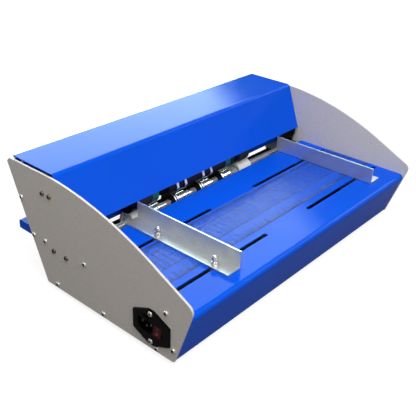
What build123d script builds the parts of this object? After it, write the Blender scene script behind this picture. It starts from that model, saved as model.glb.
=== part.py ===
from build123d import *
import os
from math import acos, atan2, cos, degrees, hypot, pi, radians, sin, sqrt, tan

# Desktop paper creasing and perforating machine.
# X runs along the rollers (+X to the operator's right), +Y runs from the operator to the
# delivery side, +Z is up. Every piece is drawn from the lower front corner of the side
# plates (Y = 0, Z = 0) and the middle of the machine's width (X = 0). save() then moves it
# to the part's own origin: the middle of its footprint, on the surface it stands on.
# All lengths are in millimetres.

# ---- overall sizes -------------------------------------------------------------------
PLATE_GAP = 502.0            # clear width between the two side plates
PLATE_T = 3.0                # side plate thickness
FOOT_H = 8.0                 # height of the rubber feet
PLATE_BASE = 234.6           # length of the side plate's bottom edge
PLATE_TOP_Z = 164.0          # straight top edge of the side plate
PLATE_TOP_FRONT_Y = 207.0    # where that straight edge starts
FRONT_LEAN = 18.0            # lean of the plate's front edge, degrees from upright
REAR_REACH = 299.8           # furthest point of the leaning rear edge
REAR_CHAMFER = 5.7           # corner cut between rear edge and top edge
SHOULDER = (28.0, 116.0)     # where the long top arc meets the short slope to the nose
TOP_ARC_MID = (124.0, 151.4) # a point on the long top arc
NOSE = (-28.6, 88.2)         # corner that the nose radius rounds off
NOSE_R = 10.0
NOSE_REACH = 26.4            # how far the rounded nose stands in front of Y = 0

# ---- sheet metal ----------------------------------------------------------------------
SHEET_T = 1.5                # table, tray, pan, cover, rear panel
BEND_R = 3.0                 # inside of the sheet's ordinary bends, plus its thickness
TABLE_Z = 73.0               # top of the feed table
TABLE_REAR_Y = 177.0
TABLE_BEND_R = 6.0
FLANGE_H = 13.0              # turned-down flanges of table and tray
TABLE_REAR_FLANGE_H = 7.0    # shorter, clear of the drive belt
APRON_GAP = 1.0              # apron sits this far behind the plates' front edge
SLOT_W = 6.4
SLOT_ROWS = (27.0, 124.8)    # Y of the two rows of guide slots
SLOT_INNER_X = 48.0
SLOT_OUTER_X = 246.0
RULER_Y = (40.0, 120.5)
RULER_T = 0.6
RULER_END_GAP = 1.0

TRAY_Z = 72.5                # top of the delivery tray
TRAY_Y = (222.8, 293.0)
PAN_Z = 1.0                  # underside of the base pan
PAN_FRONT_Y = 8.0
PAN_REAR_GAP = 4.4           # pan's leaning rear wall from the plates' rear edge
PAN_REAR_TOP_Z = 36.5
PAN_SIDE_H = 9.0
REAR_PANEL_Z = (100.0, 157.0)
REAR_PANEL_GAP = 2.0         # rear panel from the plates' rear edge

# ---- cover ----------------------------------------------------------------------------
COVER_TOP_Z = 167.0
COVER_FOLD_Y = 209.4         # fold between the cover's top and its front
COVER_LIP = (183.6, 96.0)    # lower edge of the cover's front, outer face
COVER_FOLD_R = 6.0
COVER_END_GAP = 1.5          # cover's ends from the side plates
COVER_REAR_Y = 291.0
HINGE_Y = 295.0
HINGE_Z = 162.5
HINGE_PIN_R = 1.5
HINGE_KNUCKLE_R = 3.0
HINGE_KNUCKLES = 11
KNUCKLE_GAP = 0.6
LEAF_T = 1.2

# ---- paper guides -----------------------------------------------------------------------
GUIDE_LEG = 25.0
GUIDE_T = 2.0
GUIDE_Y = (0.0, 179.3)
GUIDE_LIFT = 0.3             # guide foot above the ruler
LEFT_GUIDE_X = -137.0        # paper-side face of the left guide
RIGHT_GUIDE_X = 183.0
STUD_FROM_FACE = 17.5
STUD_R = 2.5
STUD_RISE = 15.8             # top of the guide studs above the table
NUT_AF = 8.0
NUT_H = 5.0
CLAMP_SIZE = 14.0
CLAMP_T = 1.5

# ---- rollers and tools --------------------------------------------------------------------
SHAFT_Y = 202.3
LOWER_Z = 56.0
NIP_R = 17.0                 # every driven roller and tool ring reaches this radius
GEAR_TEETH = 34
GEAR_ADDENDUM = 0.8          # in modules, stubbed to pass behind the cover
LOWER_SHAFT_R = 5.0
UPPER_SHAFT_R = 6.0
SHAFT_END_GAP = 0.5
BORE_CLEAR = 0.05            # running fit, on radius
FEED_ROLLER_LEN = 31.0
FEED_ROLLER_X = (-137.5, 95.0)       # left ends of the two lower feed rollers
FEED_SCREW_IN = 15.0         # set screw from the feed roller's left end
PRESS_HUB_LEN = 12.0
PRESS_TYRE_LEN = 26.0
TYRE_BORE_R = 13.0
PRESS_HUB_R = 16.5
PRESS_X = (-142.0, 78.0)     # left ends of the two press rollers
TYRE_NIP_GAP = 0.3           # press tyre runs this far above the feed roller
DIE_X = (-54.0, 2.0)         # left ends of the two creasing dies
DIE_RING_LEN = 6.0
DIE_GROOVE_W = 2.0
DIE_GROOVE_D = 2.0
CREASE_DISC_T = 1.0
CREASE_DEPTH = 0.5           # how far the disc dips into the die's groove
ANVIL_X = (-106.0, 53.0)     # left ends of the two perforating anvils
ANVIL_RING_LEN = 2.5
COLLAR_R = 8.5               # clamping collar to the right of every die and anvil
COLLAR_LEN = 26.0
DIE_COLLAR_SCREWS = (17.4, 9.6)      # set screws from the collars' left ends
ANVIL_COLLAR_SCREW = 19.6
PERF_TEETH = 30
PERF_T = 0.6
PERF_SIDE_GAP = 0.35
PERF_DEPTH = 0.5
BACKING_RING_LEN = 12.0
SLEEVE_R = 16.6
SLEEVE_GAP = 0.6
SLEEVE_START_X = -70.0       # left end of the row of sleeves
SET_SCREW_R = 1.6
SET_SCREW_DEPTH = 2.5
GEAR_LEN = 6.0
GEAR_BLOCK_GAP = 0.8
BACKLASH = 0.15

# ---- bearings -----------------------------------------------------------------------------
BLOCK_T = 5.0                # bearing block on the inside of each side plate
BLOCK_WIDE = 36.0
BLOCK_NARROW = 20.0
BLOCK_FOOT_Z = (46.0, 68.0)
BLOCK_TOP_ROOM = 10.0        # block above the upper shaft's axis
BLOCK_BOLT_SPACING = 24.8
BLOCK_BOLT_Z = 57.6

# ---- drive ----------------------------------------------------------------------------------
MOTOR_Y = 138.0
MOTOR_Z = 35.0
MOTOR_R = 25.0
MOTOR_LEN = 78.0
GEARBOX_R = 21.0
GEARBOX_LEN = 30.0
MOTOR_SHAFT_R = 4.0
MOTOR_PULLEY_R = 9.0
SHAFT_PULLEY_R = 13.0
PULLEY_W = 9.0
PULLEY_X = 226.0
PULLEY_RIM = 1.6
PULLEY_RIM_T = 1.2
BELT_W = 6.0
BELT_T = 1.6
BELT_CLEAR = 0.3
BRACKET_T = 3.0

# ---- power inlet ------------------------------------------------------------------------------
INLET_Y = 35.5
INLET_Z = 33.0
INLET_FLANGE_T = 2.5
INLET_LONG = 60.0
INLET_TALL = 50.0
INLET_SIDE = 27.0
INLET_EAR = 9.0
INLET_SCREW_PITCH = 40.0
INLET_BODY = (47.0, 27.0)
INLET_BODY_DEPTH = 28.0
PANEL_CLEAR = 0.5
SOCKET_Y = 44.4
SOCKET_Z = 31.9
SOCKET = (24.5, 16.6)
SOCKET_CORNER = 5.0
SOCKET_DEPTH = 17.0
PIN = (2.0, 4.0)
PIN_SPREAD = 7.0
PIN_STEP = 4.0
PIN_LEN = 14.0
ROCKER_Y = 24.0
ROCKER = (12.0, 13.4)
ROCKER_TILT = 9.0
ROCKER_CLEAR = 0.6
ROCKER_POCKET_DEPTH = 12.0
ROCKER_PIVOT_R = 1.5
ROCKER_PIVOT_IN = 3.0        # pivot lies this far inside the flange's outer face
FUSE_Z = 43.8
FUSE = (21.0, 4.4)
FUSE_DEPTH = 16.0
FUSE_CLEAR = 0.3
FUSE_LIP = 1.6

# ---- crossbar, fingers, feet, screws -------------------------------------------------------------
CROSSBAR_Y = (210.0, 234.0)
CROSSBAR_Z = (127.0, 160.0)
CROSSBAR_T = 2.0
BUMPER_H = 5.0
BUMPER_R = 6.0
BUMPER_X = 236.0
COVER_REST_GAP = 0.3
FINGER_X = (-53.9, -37.2, 1.3, 19.6)
FINGER_W = 4.0
FINGER_T = 0.8
FINGER_TIP = (183.4, 87.5)
FOOT_R = 9.0
FOOT_X = 205.0
FOOT_Y = (42.0, 205.0)
SCREW_HEAD_R = 3.5
SCREW_HEAD_H = 2.2
SCREW_R = 2.0
SCREW_HOLE_CLEAR = 0.2
SCREW_GRIP = 2.0             # shank left past the sheet it holds
TABLE_SCREW_DROP = 8.0       # screws of the table's end flanges below its top
TRAY_SCREW_DROP = 7.1

# ---- values that follow ---------------------------------------------------------------------------
INNER_X = PLATE_GAP / 2
OUTER_X = INNER_X + PLATE_T
LEAN = tan(radians(FRONT_LEAN))
REAR_CORNER = (REAR_REACH, PLATE_TOP_Z - REAR_CHAMFER)
REAR_LEAN = (REAR_CORNER[0] - PLATE_BASE) / REAR_CORNER[1]
UPPER_Z = LOWER_Z + 2 * NIP_R
GEAR_MODULE = 2 * NIP_R / GEAR_TEETH
STUD_TOP_Z = TABLE_Z + STUD_RISE
RULER_TOP_Z = TABLE_Z + RULER_T
GUIDE_FOOT_Z = RULER_TOP_Z + GUIDE_LIFT
PULLEY_RATIO = SHAFT_PULLEY_R / MOTOR_PULLEY_R
ROCKER_STAND = 2.6           # how far the rocker's crown stands off the flange
LEFT_REACH = OUTER_X + INLET_FLANGE_T + ROCKER_STAND
RIGHT_REACH = OUTER_X + SCREW_HEAD_H
X_SHIFT = (LEFT_REACH - RIGHT_REACH) / 2
Y_SHIFT = (NOSE_REACH - REAR_REACH) / 2

# Plate screws as (y, z, material behind the plate): pan, table, apron, tray and rear panel.
PAN_SCREWS = ((27.5, 5.0), (120.9, 5.6), (212.2, 6.2))
TABLE_SCREWS = ((12.5, TABLE_Z - TABLE_SCREW_DROP), (153.2, TABLE_Z - TABLE_SCREW_DROP))
APRON_SCREW = (1.0, 17.6)
TRAY_SCREWS = ((231.1, TRAY_Z - TRAY_SCREW_DROP), (255.5, TRAY_Z - TRAY_SCREW_DROP))
PANEL_SCREW = (275.3, 114.6)
CROSSBAR_SCREWS = ((214.8, 136.6), (228.6, 136.6))


def save(name, shape):
    """Move a finished piece to the part's origin and write it."""
    place = Pos(X_SHIFT, Y_SHIFT, FOOT_H)
    solids = [place * solid for solid in shape.solids()]
    export_step(solids[0] if len(solids) == 1 else Compound(solids), f"parts/{name}.step")


def rear_edge_y(z):
    """Y of the side plate's leaning rear edge at a height."""
    return PLATE_BASE + REAR_LEAN * z


def front_edge_y(z):
    """Y of the side plate's leaning front edge at a height."""
    return -LEAN * z


def block(x_span, y_span, z_span):
    """Box between three pairs of limits."""
    size = [high - low for low, high in (x_span, y_span, z_span)]
    middle = [(high + low) / 2 for low, high in (x_span, y_span, z_span)]
    return Pos(*middle) * Box(*size)


def along_x(profile, x_start, x_end):
    """Extrude a Y-Z profile from one X station to another."""
    return Pos(x_start, 0, 0) * extrude(Plane.YZ * profile, x_end - x_start)


def rod(radius, y, z, x_start, x_end):
    """Cylinder parallel to X."""
    return along_x(Pos(y, z) * Circle(radius), x_start, x_end)


def ring(outer_r, inner_r, y, z, x_start, x_end):
    """Tube parallel to X."""
    return along_x(Pos(y, z) * (Circle(outer_r) - Circle(inner_r)), x_start, x_end)


def post(radius, x, y, z_start, z_end):
    """Cylinder parallel to Z."""
    return Pos(x, y, z_start) * extrude(Circle(radius), z_end - z_start)


def folded(points, bends, thickness=SHEET_T, side=Side.RIGHT):
    """Section of a sheet whose outer face follows the points."""
    path = FilletPolyline(*points, radius=bends)
    return make_face(offset(path, amount=thickness, side=side, closed=True))


def mirrored(shape):
    """The same piece on the other side plate."""
    return mirror(shape, about=Plane.YZ)


def joined(pieces):
    """Several solids kept as one node."""
    return Compound([solid for piece in pieces for solid in piece.solids()])


# ---- side plates ------------------------------------------------------------------------------------
def plate_outline():
    """Outline of both side plates: leaning ends, rounded nose, long arched top."""
    rear = Line((PLATE_BASE, 0), REAR_CORNER)
    corner = Line(REAR_CORNER, (REAR_CORNER[0] - REAR_CHAMFER, PLATE_TOP_Z))
    top = Line((REAR_CORNER[0] - REAR_CHAMFER, PLATE_TOP_Z), (PLATE_TOP_FRONT_Y, PLATE_TOP_Z))
    arc = ThreePointArc((PLATE_TOP_FRONT_Y, PLATE_TOP_Z), TOP_ARC_MID, SHOULDER)
    slope = Line(SHOULDER, NOSE)
    front = Line(NOSE, (0, 0))
    bottom = Line((0, 0), (PLATE_BASE, 0))
    outline = make_face([rear, corner, top, arc, slope, front, bottom])
    nose_corner = outline.vertices().sort_by(Axis.X)[0]
    outline = fillet(nose_corner, NOSE_R)
    feet = outline.vertices().group_by(Axis.Y)[0]
    return fillet(feet, BEND_R)


def plate_screw_places():
    """Every screw that comes through a side plate into a flange behind it."""
    return (*PAN_SCREWS, *TABLE_SCREWS, APRON_SCREW, *TRAY_SCREWS, PANEL_SCREW)


def block_bolt_places():
    """The two bolts of a bearing block, either side of the lower shaft."""
    half = BLOCK_BOLT_SPACING / 2
    return ((SHAFT_Y - half, BLOCK_BOLT_Z), (SHAFT_Y + half, BLOCK_BOLT_Z))


def side_plate():
    """Right-hand plate with its screw and bolt holes."""
    face = plate_outline()
    hole = Circle(SCREW_R + SCREW_HOLE_CLEAR)
    for place in (*plate_screw_places(), *block_bolt_places(), *CROSSBAR_SCREWS):
        face -= Pos(*place) * hole
    return along_x(face, INNER_X, OUTER_X)


def left_plate():
    """Left-hand plate: the same outline, with the power inlet's cut-out."""
    size = [side + PANEL_CLEAR for side in INLET_BODY]
    cut = Pos(INLET_Y, INLET_Z) * RectangleRounded(*size, 1.0)
    for sign in (-1, 1):
        screw_z = INLET_Z + sign * INLET_SCREW_PITCH / 2
        cut += Pos(INLET_Y, screw_z) * Circle(SCREW_R + SCREW_HOLE_CLEAR)
    return mirrored(side_plate()) - along_x(cut, -OUTER_X, -INNER_X)


def screw(y, z, grip, head_r=SCREW_HEAD_R):
    """Plain low-head screw in the right-hand plate."""
    head = along_x(Circle(head_r), OUTER_X, OUTER_X + SCREW_HEAD_H)
    head = chamfer(head.edges().group_by(Axis.X)[-1], SCREW_HEAD_H * 0.4)
    shank = along_x(Circle(SCREW_R), INNER_X - grip, OUTER_X)
    return Pos(0, y, z) * (head + shank)


def plate_screws():
    """Screws of both plates that hold the sheet-metal pieces."""
    right = [screw(y, z, SHEET_T + SCREW_GRIP) for y, z in plate_screw_places()]
    return joined([*right, *[mirrored(piece) for piece in right]])


def dark_bolts():
    """Blackened bolts of both plates that hold the bearing blocks and the crossbar."""
    right = [screw(*place, BLOCK_T) for place in block_bolt_places()]
    right += [screw(*place, CROSSBAR_T + SCREW_GRIP) for place in CROSSBAR_SCREWS]
    return joined([*right, *[mirrored(piece) for piece in right]])


def clearance_holes(places, x_from, x_to):
    """Cutters for screw holes through a flange, in both flanges."""
    holes = [rod(SCREW_R + SCREW_HOLE_CLEAR, y, z, x_from, x_to) for y, z in places]
    return [*holes, *[mirrored(hole) for hole in holes]]


# ---- sheet-metal pieces ---------------------------------------------------------------------------------
def feed_table():
    """Feed table and front apron, one folded sheet with four guide slots."""
    top_front = (front_edge_y(TABLE_Z) + APRON_GAP, TABLE_Z)
    foot_z = PAN_Z
    foot = (front_edge_y(foot_z) + APRON_GAP, foot_z)
    points = (
        (TABLE_REAR_Y, TABLE_Z - TABLE_REAR_FLANGE_H),
        (TABLE_REAR_Y, TABLE_Z),
        top_front,
        foot,
    )
    section = folded(points, (BEND_R, TABLE_BEND_R), side=Side.LEFT)
    table = along_x(section, -INNER_X, INNER_X)
    flange_z = (TABLE_Z - FLANGE_H, TABLE_Z - SHEET_T)
    flange = block((INNER_X - SHEET_T, INNER_X), (5.0, TABLE_REAR_Y - 10), flange_z)
    apron_y, apron_z = APRON_SCREW
    low, high = apron_z - 6, apron_z + 6
    inset = APRON_GAP + SHEET_T / 2
    tab_corners = (
        (front_edge_y(low) + inset, low),
        (apron_y + 6, low),
        (apron_y + 6, high),
        (front_edge_y(high) + inset, high),
    )
    tab = along_x(make_face(Polyline(*tab_corners, close=True)), INNER_X - SHEET_T, INNER_X)
    table += flange + mirrored(flange) + tab + mirrored(tab)
    length = SLOT_OUTER_X - SLOT_INNER_X
    for row_y in SLOT_ROWS:
        for sign in (-1, 1):
            middle = sign * (SLOT_OUTER_X + SLOT_INNER_X) / 2
            slot = Pos(middle, row_y, TABLE_Z - 2 * SHEET_T) * extrude(SlotOverall(length, SLOT_W), 3 * SHEET_T)
            table -= slot
    for hole in clearance_holes((*TABLE_SCREWS, APRON_SCREW), INNER_X - 2 * SHEET_T, INNER_X):
        table -= hole
    return table


def ruler():
    """Clear acrylic ruler laid across the table between the slot rows."""
    half = INNER_X - RULER_END_GAP
    return block((-half, half), RULER_Y, (TABLE_Z, RULER_TOP_Z))


def delivery_tray():
    """Delivery tray: a flat sheet with turned-down flanges on all sides."""
    front, rear = TRAY_Y
    points = (
        (rear, TRAY_Z - FLANGE_H),
        (rear, TRAY_Z),
        (front, TRAY_Z),
        (front, TRAY_Z - FLANGE_H),
    )
    section = folded(points, (BEND_R, BEND_R), side=Side.LEFT)
    tray = along_x(section, -INNER_X, INNER_X)
    flange_z = (TRAY_Z - FLANGE_H, TRAY_Z - SHEET_T)
    flange = block((INNER_X - SHEET_T, INNER_X), (front + BEND_R, rear - BEND_R), flange_z)
    tray += flange + mirrored(flange)
    for hole in clearance_holes(TRAY_SCREWS, INNER_X - 2 * SHEET_T, INNER_X):
        tray -= hole
    return tray


def base_pan():
    """Base pan with low side flanges and a leaning rear wall."""
    rear_top_y = rear_edge_y(PAN_REAR_TOP_Z) - PAN_REAR_GAP
    points = (
        (PAN_FRONT_Y, PAN_Z + PAN_SIDE_H),
        (PAN_FRONT_Y, PAN_Z),
        (rear_edge_y(PAN_Z) - PAN_REAR_GAP, PAN_Z),
        (rear_top_y, PAN_REAR_TOP_Z),
    )
    section = folded(points, (BEND_R, BEND_R), side=Side.LEFT)
    pan = along_x(section, -INNER_X, INNER_X)
    flange_y = (PAN_FRONT_Y + BEND_R, rear_edge_y(PAN_Z) - PAN_REAR_GAP - BEND_R)
    flange_z = (PAN_Z + SHEET_T, PAN_Z + PAN_SIDE_H)
    flange = block((INNER_X - SHEET_T, INNER_X), flange_y, flange_z)
    pan += flange + mirrored(flange)
    for hole in clearance_holes(PAN_SCREWS, INNER_X - 2 * SHEET_T, INNER_X):
        pan -= hole
    return pan


def rear_panel():
    """Upper rear panel, leaning with the plates' rear edges, under the hinge."""
    low, high = REAR_PANEL_Z
    points = (
        (rear_edge_y(low) - REAR_PANEL_GAP - 12, low),
        (rear_edge_y(low) - REAR_PANEL_GAP, low),
        (rear_edge_y(high) - REAR_PANEL_GAP, high),
        (rear_edge_y(high) - REAR_PANEL_GAP - 16, high),
    )
    section = folded(points, (BEND_R, BEND_R), side=Side.LEFT)
    panel = along_x(section, -INNER_X, INNER_X)
    ear_y, ear_z = PANEL_SCREW
    ear = block((INNER_X - SHEET_T, INNER_X), (ear_y - 7, rear_edge_y(ear_z) - REAR_PANEL_GAP - 0.5), (ear_z - 7, ear_z + 7))
    panel += ear + mirrored(ear)
    for hole in clearance_holes((PANEL_SCREW,), INNER_X - 2 * SHEET_T, INNER_X):
        panel -= hole
    return panel


def crossbar():
    """Folded channel between the plates that carries the fingers and the cover's bumpers."""
    front, rear = CROSSBAR_Y
    low, high = CROSSBAR_Z
    points = ((rear, low), (rear, high), (front, high), (front, low))
    section = folded(points, (BEND_R, BEND_R), CROSSBAR_T, Side.LEFT)
    bar = along_x(section, -INNER_X, INNER_X)
    end = block((INNER_X - CROSSBAR_T, INNER_X), (front + CROSSBAR_T, rear - CROSSBAR_T), (low + 2, high - CROSSBAR_T))
    bar += end + mirrored(end)
    for hole in clearance_holes(CROSSBAR_SCREWS, INNER_X - 2 * CROSSBAR_T, INNER_X):
        bar -= hole
    return bar


def cover_bumpers():
    """Two rubber buttons on the crossbar that the closed cover comes down on."""
    top = COVER_TOP_Z - SHEET_T - COVER_REST_GAP
    middle_y = (CROSSBAR_Y[0] + CROSSBAR_Y[1]) / 2
    bumper = post(BUMPER_R, BUMPER_X, middle_y, CROSSBAR_Z[1], top)
    bumper = chamfer(bumper.edges().group_by(Axis.Z)[-1], 1.0)
    return joined([bumper, mirrored(bumper)])


def hold_down_fingers():
    """Spring-steel fingers that hold the sheet down in front of the tools."""
    front = CROSSBAR_Y[0]
    low = CROSSBAR_Z[0]
    tip_y, tip_z = FINGER_TIP
    points = (
        (front, low + 16),
        (front, low + 2),
        (tip_y + 7.6, tip_z + 21.0),
        FINGER_TIP,
        (tip_y + 1.8, tip_z - 3.3),
    )
    section = folded(points, (3.0, 8.0, 1.5), FINGER_T, Side.RIGHT)
    return joined([along_x(section, x - FINGER_W / 2, x + FINGER_W / 2) for x in FINGER_X])


# ---- cover and hinge --------------------------------------------------------------------------------------
def top_cover():
    """Hinged cover: one folded sheet, open at both ends."""
    points = ((COVER_REAR_Y, COVER_TOP_Z), (COVER_FOLD_Y, COVER_TOP_Z), COVER_LIP)
    half = INNER_X - COVER_END_GAP
    return along_x(folded(points, COVER_FOLD_R, side=Side.LEFT), -half, half)


def knuckle_spans():
    """X limits of the hinge's knuckles, from left to right."""
    half = INNER_X - COVER_END_GAP - 4
    pitch = 2 * half / HINGE_KNUCKLES
    for number in range(HINGE_KNUCKLES):
        start = -half + number * pitch
        yield start + KNUCKLE_GAP / 2, start + pitch - KNUCKLE_GAP / 2


def hinge_knuckles(first):
    """Every second knuckle, starting with the first or the second one."""
    spans = list(knuckle_spans())[first::2]
    bore = HINGE_PIN_R + (BORE_CLEAR if first else 0)
    return [ring(HINGE_KNUCKLE_R, bore, HINGE_Y, HINGE_Z, *span) for span in spans]


def frame_leaf():
    """Hinge leaf that lies on the rear panel's top flange, with its knuckles."""
    half = INNER_X - COVER_END_GAP - 4
    flange_z = REAR_PANEL_Z[1]
    points_y = (rear_edge_y(flange_z) - REAR_PANEL_GAP - 15, HINGE_Y)
    leaf = block((-half, half), points_y, (flange_z, flange_z + LEAF_T))
    web = block((-half, half), (HINGE_Y - LEAF_T, HINGE_Y), (flange_z, HINGE_Z - HINGE_PIN_R - 0.4))
    leaf += web
    for span in list(knuckle_spans())[1::2]:
        wide = (span[0] - KNUCKLE_GAP, span[1] + KNUCKLE_GAP)
        leaf -= rod(HINGE_KNUCKLE_R + KNUCKLE_GAP, HINGE_Y, HINGE_Z, *wide)
    for knuckle in hinge_knuckles(0):
        leaf += knuckle
    return leaf - rod(HINGE_PIN_R, HINGE_Y, HINGE_Z, -INNER_X, INNER_X)


def cover_leaf():
    """Hinge leaf under the cover's top sheet, with its knuckles."""
    half = INNER_X - COVER_END_GAP - 4
    top = COVER_TOP_Z - SHEET_T
    leaf = block((-half, half), (COVER_REAR_Y - 16, HINGE_Y), (top - LEAF_T, top))
    for span in list(knuckle_spans())[0::2]:
        wide = (span[0] - KNUCKLE_GAP, span[1] + KNUCKLE_GAP)
        leaf -= rod(HINGE_KNUCKLE_R + KNUCKLE_GAP, HINGE_Y, HINGE_Z, *wide)
    for knuckle in hinge_knuckles(1):
        leaf += knuckle
    return leaf - rod(HINGE_PIN_R + BORE_CLEAR, HINGE_Y, HINGE_Z, -INNER_X, INNER_X)


def hinge_pin():
    """Full-length pin of the cover hinge."""
    half = INNER_X - COVER_END_GAP - 4
    return rod(HINGE_PIN_R, HINGE_Y, HINGE_Z, -half, half)


# ---- paper guides ----------------------------------------------------------------------------------------
def guide_angle(face_x, outward):
    """Aluminium angle: upright face to the paper, foot turned outward."""
    low, high = GUIDE_Y
    foot_x = sorted((face_x, face_x + outward * GUIDE_LEG))
    wall_x = sorted((face_x, face_x + outward * GUIDE_T))
    foot = block(foot_x, (low, high), (GUIDE_FOOT_Z, GUIDE_FOOT_Z + GUIDE_T))
    wall = block(wall_x, (low, high), (GUIDE_FOOT_Z, GUIDE_FOOT_Z + GUIDE_LEG - GUIDE_LIFT))
    angle = foot + wall
    stud_x = face_x + outward * STUD_FROM_FACE
    for row_y in SLOT_ROWS:
        angle -= post(STUD_R + SCREW_HOLE_CLEAR, stud_x, row_y, GUIDE_FOOT_Z, GUIDE_FOOT_Z + GUIDE_T)
    return angle


def guide_studs(face_x, outward):
    """Two studs that come up through the slots, with rounded ends."""
    studs = []
    low = TABLE_Z - SHEET_T - GUIDE_LIFT - CLAMP_T - 3.0
    for row_y in SLOT_ROWS:
        stud = post(STUD_R, face_x + outward * STUD_FROM_FACE, row_y, low, STUD_TOP_Z)
        studs.append(fillet(stud.edges().group_by(Axis.Z)[-1], STUD_R * 0.8))
    return joined(studs)


def guide_nuts(face_x, outward):
    """Flanged hexagon nuts that clamp the guide's foot."""
    low = GUIDE_FOOT_Z + GUIDE_T
    nuts = []
    for row_y in SLOT_ROWS:
        flange = extrude(Circle(NUT_AF * 0.62) - Circle(STUD_R), 1.0)
        hexagon = RegularPolygon(NUT_AF / 2, 6, major_radius=False) - Circle(STUD_R)
        nut = flange + extrude(hexagon, NUT_H)
        nuts.append(Pos(face_x + outward * STUD_FROM_FACE, row_y, low) * nut)
    return joined(nuts)


def guide_clamps(face_x, outward):
    """Square clamp plates under the table, held on the studs' heads."""
    high = TABLE_Z - SHEET_T - GUIDE_LIFT
    plates = []
    for row_y in SLOT_ROWS:
        sketch = RectangleRounded(CLAMP_SIZE, CLAMP_SIZE, 2.0) - Circle(STUD_R)
        plate = extrude(sketch, CLAMP_T)
        head = Pos(0, 0, -2.0) * extrude(Circle(STUD_R + 2) - Circle(STUD_R), 2.0)
        plates.append(Pos(face_x + outward * STUD_FROM_FACE, row_y, high - CLAMP_T) * (plate + head))
    return joined(plates)


# ---- lower shaft and its tools ------------------------------------------------------------------------------
def set_screw_hole(x, z, radius):
    """Blind set-screw hole that faces the operator and leans upward."""
    lean = 38.0
    start = Pos(x, SHAFT_Y, z) * Rot(90 - lean, 0, 0)
    return start * Pos(0, 0, radius - SET_SCREW_DEPTH) * extrude(Circle(SET_SCREW_R), SET_SCREW_DEPTH + 1)


def lower_shaft():
    """Driven ground-steel shaft through both plates' bearings."""
    reach = INNER_X - SHAFT_END_GAP
    shaft = rod(LOWER_SHAFT_R, SHAFT_Y, LOWER_Z, -reach, reach)
    return chamfer(shaft.edges().filter_by(GeomType.CIRCLE), 0.6)


def feed_roller(x):
    """White nylon feed roller with a set-screw hole and recessed ends."""
    body = ring(NIP_R, LOWER_SHAFT_R, SHAFT_Y, LOWER_Z, x, x + FEED_ROLLER_LEN)
    rims = body.edges().filter_by(GeomType.CIRCLE).filter_by(lambda edge: edge.radius > NIP_R - 1)
    body = chamfer(rims, 1.0)
    for end, step in ((x, 1), (x + FEED_ROLLER_LEN, -1)):
        recess = sorted((end, end + step * 3.0))
        body -= ring(NIP_R - 4, LOWER_SHAFT_R + 3.5, SHAFT_Y, LOWER_Z, *recess)
    return body - set_screw_hole(x + FEED_SCREW_IN, LOWER_Z, NIP_R)


def crease_die(x):
    """Hardened creasing die: a ring with a groove round the middle of its tread."""
    middle = x + DIE_RING_LEN / 2
    groove = (middle - DIE_GROOVE_W / 2, middle + DIE_GROOVE_W / 2)
    die = ring(NIP_R, LOWER_SHAFT_R, SHAFT_Y, LOWER_Z, x, x + DIE_RING_LEN)
    return die - ring(NIP_R + 1, NIP_R - DIE_GROOVE_D, SHAFT_Y, LOWER_Z, *groove)


def perf_anvil(x):
    """Narrow hardened ring that the perforating blade shears against."""
    return ring(NIP_R, LOWER_SHAFT_R, SHAFT_Y, LOWER_Z, x, x + ANVIL_RING_LEN)


def clamping_collar(x, screw_in):
    """Bright collar that clamps a die or an anvil to the shaft, with a slit round its middle."""
    slit = (x + COLLAR_LEN / 2 - 0.6, x + COLLAR_LEN / 2 + 0.6)
    collar = ring(COLLAR_R, LOWER_SHAFT_R, SHAFT_Y, LOWER_Z, x, x + COLLAR_LEN)
    collar -= ring(COLLAR_R + 1, COLLAR_R - 1.0, SHAFT_Y, LOWER_Z, *slit)
    return collar - set_screw_hole(x + screw_in, LOWER_Z, COLLAR_R)


def tool_collars():
    """The four clamping collars of the lower shaft."""
    collars = [clamping_collar(x + ANVIL_RING_LEN, ANVIL_COLLAR_SCREW) for x in ANVIL_X]
    for x, screw_in in zip(DIE_X, DIE_COLLAR_SCREWS):
        collars.append(clamping_collar(x + DIE_RING_LEN, screw_in))
    return joined(collars)


# ---- upper shaft and its tools ------------------------------------------------------------------------------
def upper_shaft():
    """Upper tool shaft, geared to the lower one."""
    reach = INNER_X - SHAFT_END_GAP
    shaft = rod(UPPER_SHAFT_R, SHAFT_Y, UPPER_Z, -reach, reach)
    return chamfer(shaft.edges().filter_by(GeomType.CIRCLE), 0.6)


def press_hub(x):
    """Black hub of a press roller, with the core that carries its tyre."""
    step = x + PRESS_HUB_LEN
    hub = ring(PRESS_HUB_R, UPPER_SHAFT_R, SHAFT_Y, UPPER_Z, x, step)
    core = ring(TYRE_BORE_R, UPPER_SHAFT_R, SHAFT_Y, UPPER_Z, step, step + PRESS_TYRE_LEN)
    return hub + core


def press_tyre(x):
    """Black rubber tyre pressed on the hub's core."""
    start = x + PRESS_HUB_LEN
    tyre = ring(NIP_R - TYRE_NIP_GAP, TYRE_BORE_R, SHAFT_Y, UPPER_Z, start, start + PRESS_TYRE_LEN)
    rims = tyre.edges().filter_by(GeomType.CIRCLE).filter_by(lambda edge: edge.radius > NIP_R - 1)
    return chamfer(rims, 1.0)


def crease_wheel(x):
    """Creasing wheel: thin disc between two clamping flanges."""
    middle = x + DIE_RING_LEN / 2
    disc = ring(NIP_R + CREASE_DEPTH, UPPER_SHAFT_R, SHAFT_Y, UPPER_Z, middle - CREASE_DISC_T / 2, middle + CREASE_DISC_T / 2)
    flanges = ring(NIP_R - 4, UPPER_SHAFT_R, SHAFT_Y, UPPER_Z, x, x + DIE_RING_LEN)
    return disc + flanges


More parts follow.
